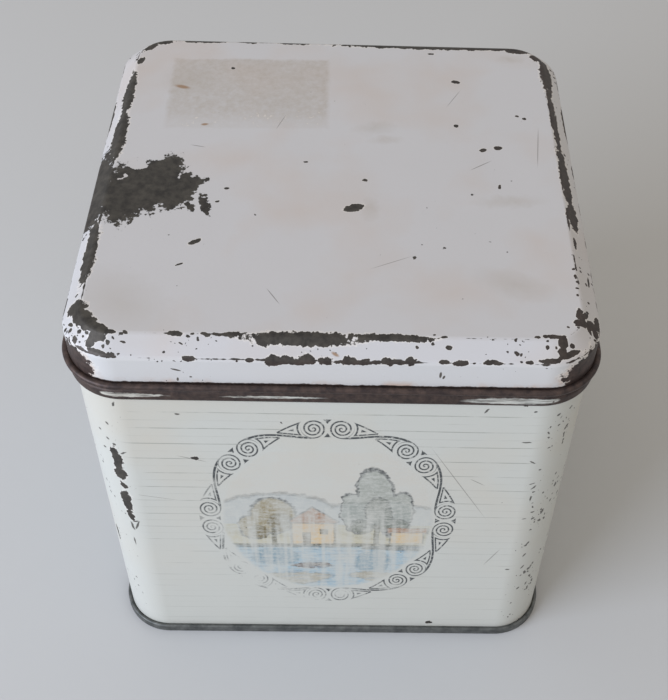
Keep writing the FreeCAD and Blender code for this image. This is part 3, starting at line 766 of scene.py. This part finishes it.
def scrolled_frame(tree, across, up, radius):
    """Ink of the frame, folded so that one scroll and half of its band draw all of them."""
    half_run = FRAME_RADIUS * math.pi / SCROLL_PAIRS
    turn = add(tree, "Math ARCTAN2", [up, across])
    along = add(tree, "Math PINGPONG", [turn, math.tau / SCROLL_PAIRS])
    along = add(tree, "Math MULTIPLY", [along, FRAME_RADIUS])
    side = add(tree, "MapRange", [along, half_run - 0.01, half_run + 0.01, 1.0, -1.0])
    along = add(tree, "Math PINGPONG", [along, half_run])
    aside = add(tree, "Math SUBTRACT", [radius, FRAME_RADIUS])
    aside = add(tree, "Math MULTIPLY", [aside, side])
    past = add(tree, "Math SUBTRACT", [along, SCROLL_APART])

    # A scroll that winds in from the band
    arm = add(tree, "CombineXYZ", [past, aside])
    arm = add(tree, "VectorMath LENGTH", [arm], "Value")
    swing = add(tree, "Math ARCTAN2", [aside, past])
    coil = add(tree, "Math MULTIPLY_ADD", [arm, 1 / SCROLL_PITCH, -SCROLL_RADIUS / SCROLL_PITCH - 0.25])
    coil = add(tree, "Math MULTIPLY_ADD", [swing, -1 / math.tau, coil])
    coil = add(tree, "Math PINGPONG", [coil, 0.5])
    coil = add(tree, "Math MULTIPLY", [coil, SCROLL_PITCH])
    in_scroll = add(tree, "MapRange", [arm, SCROLL_RADIUS, SCROLL_RADIUS + 0.15, 1.0, 0.0])
    in_band = add(tree, "MapRange", [past, -0.1, 0.1, 0.0, 1.0])
    in_band = add(tree, "Math SUBTRACT", [in_band, in_scroll], use_clamp=True)

    # A heavier line crosses from the outside of one scroll to the inside of the next, with a wedge beside it
    share = add(tree, "Math MULTIPLY", [past, 1 / (half_run - SCROLL_APART)])
    middle = add(tree, "Math MULTIPLY", [share, math.pi / 2])
    middle = add(tree, "Math COSINE", [middle])
    cross = add(tree, "Math MULTIPLY_ADD", [middle, SCROLL_RADIUS - PEN, aside])
    near_side = add(tree, "Math SUBTRACT", [WEDGE_GAP, cross])
    slope = add(tree, "MapRange", [share, 0.0, 1.0, SCROLL_RADIUS, WEDGE_GAP])
    far_side = add(tree, "Math SUBTRACT", [aside, slope])
    wide_end = add(tree, "Math SUBTRACT", [SCROLL_RADIUS + WEDGE_GAP, arm])
    wedge = add(tree, "Math MAXIMUM", [near_side, far_side])
    wedge = add(tree, "Math MAXIMUM", [wedge, wide_end])
    heart = add(tree, "MapRange", [wedge, -WEDGE_HEART - 0.1, -WEDGE_HEART, 1.0, 0.0])

    # A small dark gore on either side between the two scrolls of a pair
    width = add(tree, "Math ABSOLUTE", [aside])
    width = add(tree, "Math SUBTRACT", [width, GORE_MIDDLE])
    width = add(tree, "Math ABSOLUTE", [width])
    gore = add(tree, "Math SUBTRACT", [width, GORE_HALF])
    for end in (wide_end, add(tree, "Math ADD", [past, 1.0])):
        gore = add(tree, "Math MAXIMUM", [gore, end])
    gore = add(tree, "MapRange", [gore, 0.0, 0.1, 1.0, 0.0])

    # All of it in ink
    ink = add(tree, "Math MULTIPLY", [heart, in_band])
    ink = add(tree, "Math MAXIMUM", [ink, gore])
    for line, pen, where in ((coil, PEN, in_scroll), (cross, HEAVY_PEN, in_band), (wedge, PEN, in_band)):
        stroke = add(tree, "Math ABSOLUTE", [line])
        stroke = add(tree, "MapRange", [stroke, pen - 0.05, pen + 0.09, 1.0, 0.0])
        stroke = add(tree, "Math MULTIPLY", [stroke, where])
        ink = add(tree, "Math MAXIMUM", [ink, stroke])
    return ink


def tinplate(name, dark, light, grain, metallic=0.8, roughness=0.42):
    """Bare tinplate gone dull: grey metal with a cloudy mottle and a soft sheen."""
    material, tree = new_material(name)
    place = millimetres(tree)
    face = speckled(tree, place, dark, light, grain)
    pits = add(tree, "TexNoise", {"Vector": place, "Scale": 1 / 0.8, "Detail": 4.0})
    bump = add(tree, "Bump", {"Strength": 0.6, "Distance": 0.03 * MM, "Height": pits})
    surface = add(tree, "BsdfPrincipled", {"Base Color": face, "Metallic": metallic, "Roughness": roughness,
                                           "Normal": bump})
    add(tree, "OutputMaterial", {"Surface": surface})
    return material


def bent_wire(bm, corners, steps):
    """A wire through (place, bend radius) corners, with each bend rounded as far as its runs leave room."""
    verts = [bm.verts.new(place) for place, bend in corners]
    for start, end in zip(verts, verts[1:]):
        bm.edges.new((start, end))
    places = [Vector(place) for place, bend in corners]
    bends = []
    for i in range(1, len(places) - 1):
        before = places[i] - places[i - 1]
        after = places[i + 1] - places[i]
        room = BEND_SHARE * min(before.length, after.length)
        bends.append((verts[i], min(corners[i][1] * math.tan(before.angle(after) / 2), room)))
    for vert, tangent in bends:
        if tangent > 0:
            bmesh.ops.bevel(bm, geom=[vert], offset=tangent, offset_type="OFFSET", affect="VERTICES",
                            segments=steps, profile=0.5, material=-1)
    return list(bm.edges)


def drawn_along(bm, edges, step):
    """Extrude a wire along a step, and return the wire at its far end."""
    made = bmesh.ops.extrude_edge_only(bm, edges=edges)["geom"]
    ends = {item for item in made if isinstance(item, bmesh.types.BMVert)}
    bmesh.ops.translate(bm, verts=list(ends), vec=step)
    return [item for item in made if isinstance(item, bmesh.types.BMEdge) and set(item.verts) <= ends]


def swept_round(section, sizes):
    """Carry a section of (outward offset, height, bend radius) corners round the body's plan, as a bmesh."""
    bm = bmesh.new()
    reach = WALL_HIGH.x - sizes.bead_protrusion
    straight = reach - sizes.corner_radius
    wire = bent_wire(bm, [((reach + out, 0, up), bend) for out, up, bend in section], sizes.bend_steps)
    wire = drawn_along(bm, wire, (0, straight, 0))
    ends = {vert for edge in wire for vert in edge.verts}
    turned = bmesh.ops.spin(bm, geom=wire + list(ends), cent=(straight, straight, 0), axis=(0, 0, 1),
                            angle=math.radians(90), steps=sizes.corner_steps, use_duplicate=False)
    wire = [item for item in turned["geom_last"] if isinstance(item, bmesh.types.BMEdge)]
    drawn_along(bm, wire, (-straight, 0, 0))
    for axis in ("X", "Y"):
        everything = bm.verts[:] + bm.edges[:] + bm.faces[:]
        bmesh.ops.mirror(bm, geom=everything, matrix=Matrix.Identity(4), merge_dist=MERGE, axis=axis)
    bmesh.ops.remove_doubles(bm, verts=bm.verts, dist=MERGE)
    return bm


def close_panel(bm, height):
    """Fill the open loop that lies at a height."""
    loop = [edge for edge in bm.edges if edge.is_boundary
            and all(abs(vert.co.z - height) < SAME_PLACE for vert in edge.verts)]
    bmesh.ops.contextual_create(bm, geom=loop)


def place_piece(name, bm, sheet, materials, body):
    """Turn a bmesh of a sheet's mid-surface into a piece with thickness that rides on a body.

    A face's own material is its outside, and the next one in the list its inside.
    """
    bmesh.ops.recalc_face_normals(bm, faces=bm.faces)
    for face in bm.faces:
        face.smooth = True
    mesh = bpy.data.meshes.new(name)
    bm.to_mesh(mesh)
    bm.free()
    for material in materials:
        mesh.materials.append(material)
    piece = bpy.data.objects.new(name, mesh)
    bpy.context.scene.collection.objects.link(piece)
    wall = piece.modifiers.new("Sheet", "SOLIDIFY")
    wall.thickness = sheet
    wall.offset = 0.0
    wall.use_even_offset = True
    wall.material_offset = 1
    wall.material_offset_rim = 1
    flats = piece.modifiers.new("Flats", "WEIGHTED_NORMAL")
    flats.keep_sharp = True
    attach(piece, body)
    return piece


class TIN_OT_lid(bpy.types.Operator):
    """Press the lid: flat panel, bevelled shoulder, skirt and a rim rolled outward"""
    bl_idname = "tin.lid"
    bl_label = "Lid"

    def execute(self, context):
        sizes = context.scene.tin_sizes
        paints = context.scene.tin_paints
        half = sizes.sheet / 2
        skirt = sizes.lid_clearance + half
        top = LID_HIGH.z - half
        foot = LID_LOW.z + half
        curl_bend = (sizes.curl_diameter - sizes.sheet) / 2
        curl_out = skirt + 2 * curl_bend
        curl_top = foot + 2 * curl_bend
        bm = swept_round([
            (skirt - sizes.bevel_run - sizes.panel_margin, top, 0),
            (skirt - sizes.bevel_run, top, sizes.crease_bend),
            (skirt, top - sizes.bevel_drop, sizes.crease_bend),
            (skirt, foot, curl_bend),
            (curl_out, foot, curl_bend),
            (curl_out, curl_top, curl_bend),
            (skirt + half + sizes.fold_gap, curl_top, 0),
        ], sizes)
        close_panel(bm, top)
        for face in bm.faces:
            if face.calc_center_median().z < curl_top + half:
                face.material_index = 1
        reach = (WALL_HIGH.x - sizes.bead_protrusion) / MM
        outside = lid_enamel(paints, reach, sizes.corner_radius / MM)
        inside = tinplate("dull_tin_inside_the_lid", paints.tin_dark, paints.tin_light, 6.0)
        rim = tinplate("rusted_tinplate_of_the_rim", paints.rust_dark, paints.rust_light, 1.8, 0.5, 0.5)
        piece = place_piece("slip_lid", bm, sizes.sheet, [outside, inside, rim], "lid")
        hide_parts("lid")
        return {"FINISHED"}


class TIN_OT_body_wrapper(bpy.types.Operator):
    """Bend the body: hemmed mouth, neck, bead, walls, seam flange and a lock seam up the back"""
    bl_idname = "tin.body_wrapper"
    bl_label = "Body wrapper"

    def execute(self, context):
        sizes = context.scene.tin_sizes
        paints = context.scene.tin_paints
        half = sizes.sheet / 2
        pitch = sizes.sheet + sizes.fold_gap
        wall = -half
        mouth = WALL_HIGH.z - half
        shoulder = WALL_HIGH.z - sizes.neck_height
        bead_foot = shoulder - sizes.bead_height
        crest = sizes.bead_protrusion - half
        flange_foot = WALL_LOW.z + half
        flange = wall + 2 * pitch
        bm = swept_round([
            (wall - pitch, WALL_HIGH.z - sizes.hem_depth, 0),
            (wall - pitch, mouth, pitch / 2),
            (wall, mouth, pitch / 2),
            (wall, shoulder, sizes.bead_bend),
            (crest, shoulder - sizes.bead_flank, sizes.bead_bend),
            (crest, bead_foot + sizes.bead_flank, sizes.bead_bend),
            (wall, bead_foot, sizes.bead_bend),
            (wall, flange_foot, pitch / 2),
            (flange, flange_foot, pitch / 2),
            (flange, sizes.base_seam_height - half - pitch, 0),
        ], sizes)
        foot = sizes.countersink + sizes.sheet + sizes.seam_setback
        self.lock_seam(bm, sizes, foot, bead_foot - sizes.seam_setback)
        reach = (WALL_HIGH.x - sizes.bead_protrusion) / MM
        outside = printed_enamel(paints, reach, sizes.corner_radius / MM)
        inside = tinplate("dull_tin_inside_the_body", paints.tin_dark, paints.tin_light, 7.0)
        piece = place_piece("body_wrapper_sheet", bm, sizes.sheet, [outside, inside], "tin")
        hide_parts("body_wrapper")
        return {"FINISHED"}

    def lock_seam(self, bm, sizes, foot, head):
        """Open the back wall between two heights and hook its two edges into each other there."""
        pitch = sizes.sheet + sizes.fold_gap
        back = WALL_HIGH.y - sizes.bead_protrusion - sizes.sheet / 2
        layers = [back - i * pitch for i in range(4)]
        half = sizes.seam_width / 2
        step_foot = -half - pitch
        step_head = step_foot - pitch
        left = step_head - sizes.seam_lead
        right = half + sizes.seam_lead
        for place, normal in (((left, 0, 0), (1, 0, 0)), ((right, 0, 0), (1, 0, 0)),
                              ((0, 0, foot), (0, 0, 1)), ((0, 0, head), (0, 0, 1))):
            wall = [face for face in bm.faces
                    if all(abs(vert.co.y - back) < SAME_PLACE for vert in face.verts)
                    and min(vert.co.z for vert in face.verts) < head
                    and max(vert.co.z for vert in face.verts) > foot]
            parts = {part for face in wall for part in [face, *face.edges, *face.verts]}
            bmesh.ops.bisect_plane(bm, geom=list(parts), plane_co=place, plane_no=normal)
        opening = [face for face in bm.faces if abs(face.calc_center_median().y - back) < SAME_PLACE
                   and left < face.calc_center_median().x < right
                   and foot < face.calc_center_median().z < head]
        bmesh.ops.delete(bm, geom=opening, context="FACES")
        hooks = (
            [(right, layers[0], 0), (-half, layers[0], pitch), (-half, layers[2], pitch),
             (half - pitch, layers[2], 0)],
            [(left, layers[0], 0), (step_head, layers[0], pitch), (step_foot, layers[3], pitch),
             (half, layers[3], pitch), (half, layers[1], pitch), (-half + pitch, layers[1], 0)],
        )
        for hook in hooks:
            strip = bmesh.new()
            wire = bent_wire(strip, [((x, y, foot), bend) for x, y, bend in hook], sizes.bend_steps)
            drawn_along(strip, wire, (0, 0, head - foot))
            mesh = bpy.data.meshes.new("hook")
            strip.to_mesh(mesh)
            strip.free()
            bm.from_mesh(mesh)
            bpy.data.meshes.remove(mesh)
        bmesh.ops.remove_doubles(bm, verts=bm.verts, dist=SAME_PLACE)


class TIN_OT_base_end(bpy.types.Operator):
    """Press the base: raised panel, inner wall and the double seam rolled round the body's flange"""
    bl_idname = "tin.base_end"
    bl_label = "Base end"

    def execute(self, context):
        sizes = context.scene.tin_sizes
        paints = context.scene.tin_paints
        half = sizes.sheet / 2
        pitch = sizes.sheet + sizes.fold_gap
        wall = -half - pitch
        hook = -half + pitch
        seam = -half + 3 * pitch
        low = BASE_LOW.z + half
        panel = sizes.countersink + half
        seam_top = sizes.base_seam_height - half
        bm = swept_round([
            (wall - sizes.panel_margin, panel, 0),
            (wall, panel, sizes.base_bend),
            (wall, low, pitch / 2),
            (seam, low, pitch / 2),
            (seam, seam_top, pitch),
            (hook, seam_top, pitch),
            (hook, WALL_LOW.z + half + pitch, 0),
        ], sizes)
        close_panel(bm, panel)
        outside = tinplate("tarnished_tinplate_of_the_seam", paints.base_dark, paints.base_light,
                           3.0, 0.5, 0.5)
        inside = tinplate("dull_tin_inside_the_base", paints.tin_dark, paints.tin_light, 7.0)
        piece = place_piece("seamed_base", bm, sizes.sheet, [outside, inside], "tin")
        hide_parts("base_end")
        return {"FINISHED"}


class TIN_OT_stage(bpy.types.Operator):
    """Lay the floor, hang the lights and set up the camera"""
    bl_idname = "tin.stage"
    bl_label = "Stage"

    def execute(self, context):
        scene = context.scene
        scene.view_settings.view_transform = "Standard"
        self.floor(scene)
        self.lights(scene)
        self.camera(scene)
        return {"FINISHED"}

    def floor(self, scene):
        """A wide pale table top."""
        bm = bmesh.new()
        bmesh.ops.create_grid(bm, x_segments=1, y_segments=1, size=3.0)
        mesh = bpy.data.meshes.new("floor")
        bm.to_mesh(mesh)
        bm.free()
        material, tree = new_material("pale_matt_table")
        surface = add(tree, "BsdfPrincipled", {"Base Color": linear("#bec2c5"), "Roughness": 0.9,
                                               "Specular IOR Level": 0.0})
        add(tree, "OutputMaterial", {"Surface": surface})
        mesh.materials.append(material)
        table = bpy.data.objects.new("floor", mesh)
        scene.collection.objects.link(table)

    def lights(self, scene):
        """Soft warm light all round, and a wide cool window low on the left in front."""
        world = bpy.data.worlds.new("soft_room")
        world.use_nodes = True
        world.node_tree.nodes.clear()
        tree = world.node_tree
        path = add(tree, "LightPath").node
        seen = add(tree, "Math MAXIMUM", [path.outputs["Is Camera Ray"], path.outputs["Is Glossy Ray"]])
        seen = add(tree, "Math MAXIMUM", [seen, path.outputs["Is Transmission Ray"]])
        room = add(tree, "Background", {"Color": linear("#fff4e8"), "Strength": 0.66})
        backdrop = add(tree, "Background", {"Color": linear("#c8cacb"), "Strength": 1.0})
        shown = add(tree, "MixShader", [seen, room, backdrop])
        add(tree, "OutputWorld", {"Surface": shown})
        scene.world = world
        window = bpy.data.lights.new("window", "AREA")
        window.shape = "RECTANGLE"
        window.size = 0.8
        window.size_y = 0.5
        window.energy = 14.2
        window.color = linear("#e6eeff")[:3]
        lamp = bpy.data.objects.new("window", window)
        aim = Vector((0, 0, 0.06))
        stand = Vector((-0.88, -0.60, 0.48))
        facing = (aim - stand).to_track_quat("-Z", "Y").to_matrix().to_4x4()
        lamp.matrix_world = Matrix.Translation(stand) @ facing
        lamp.visible_camera = False
        scene.collection.objects.link(lamp)

    def camera(self, scene):
        """The picture's own viewpoint."""
        lens = bpy.data.cameras.new("camera")
        lens.sensor_width = SENSOR
        lens.lens = LENS_PIXELS * SENSOR / PICTURE_HEIGHT
        lens.shift_x = -AXIS_PIXELS_RIGHT / PICTURE_HEIGHT
        lens.clip_start = 0.01
        viewer = bpy.data.objects.new("camera", lens)
        turn = Matrix.Rotation(math.radians(CAMERA_TURN), 4, "Z")
        dip = Matrix.Rotation(math.radians(90 - CAMERA_DIP), 4, "X")
        roll = Matrix.Rotation(math.radians(CAMERA_ROLL), 4, "Z")
        viewer.matrix_world = Matrix.Translation(Vector(CAMERA_PLACE) * MM) @ turn @ dip @ roll
        scene.collection.objects.link(viewer)
        scene.camera = viewer


class TIN_PT_sidebar(bpy.types.Panel):
    """The tin's pieces, sizes and colours"""
    bl_idname = "TIN_PT_sidebar"
    bl_label = "Square tin"
    bl_space_type = "VIEW_3D"
    bl_region_type = "UI"
    bl_category = "Tin"

    def draw(self, context):
        for operator in OPERATORS:
            self.layout.operator(operator.bl_idname)
        for group in (context.scene.tin_sizes, context.scene.tin_paints):
            for name in group.__annotations__:
                self.layout.prop(group, name)


OPERATORS = (TIN_OT_lid, TIN_OT_body_wrapper, TIN_OT_base_end, TIN_OT_stage)
CLASSES = (TinSizes, TinPaints, *OPERATORS, TIN_PT_sidebar)


def register():
    for cls in CLASSES:
        bpy.utils.register_class(cls)
    bpy.types.Scene.tin_sizes = PointerProperty(type=TinSizes)
    bpy.types.Scene.tin_paints = PointerProperty(type=TinPaints)


def unregister():
    del bpy.types.Scene.tin_paints
    del bpy.types.Scene.tin_sizes
    for cls in reversed(CLASSES):
        bpy.utils.unregister_class(cls)


def main():
    register()
    bpy.ops.tin.lid()
    bpy.ops.tin.body_wrapper()
    bpy.ops.tin.base_end()
    bpy.ops.tin.stage()


if __name__ == "__main__":
    main()
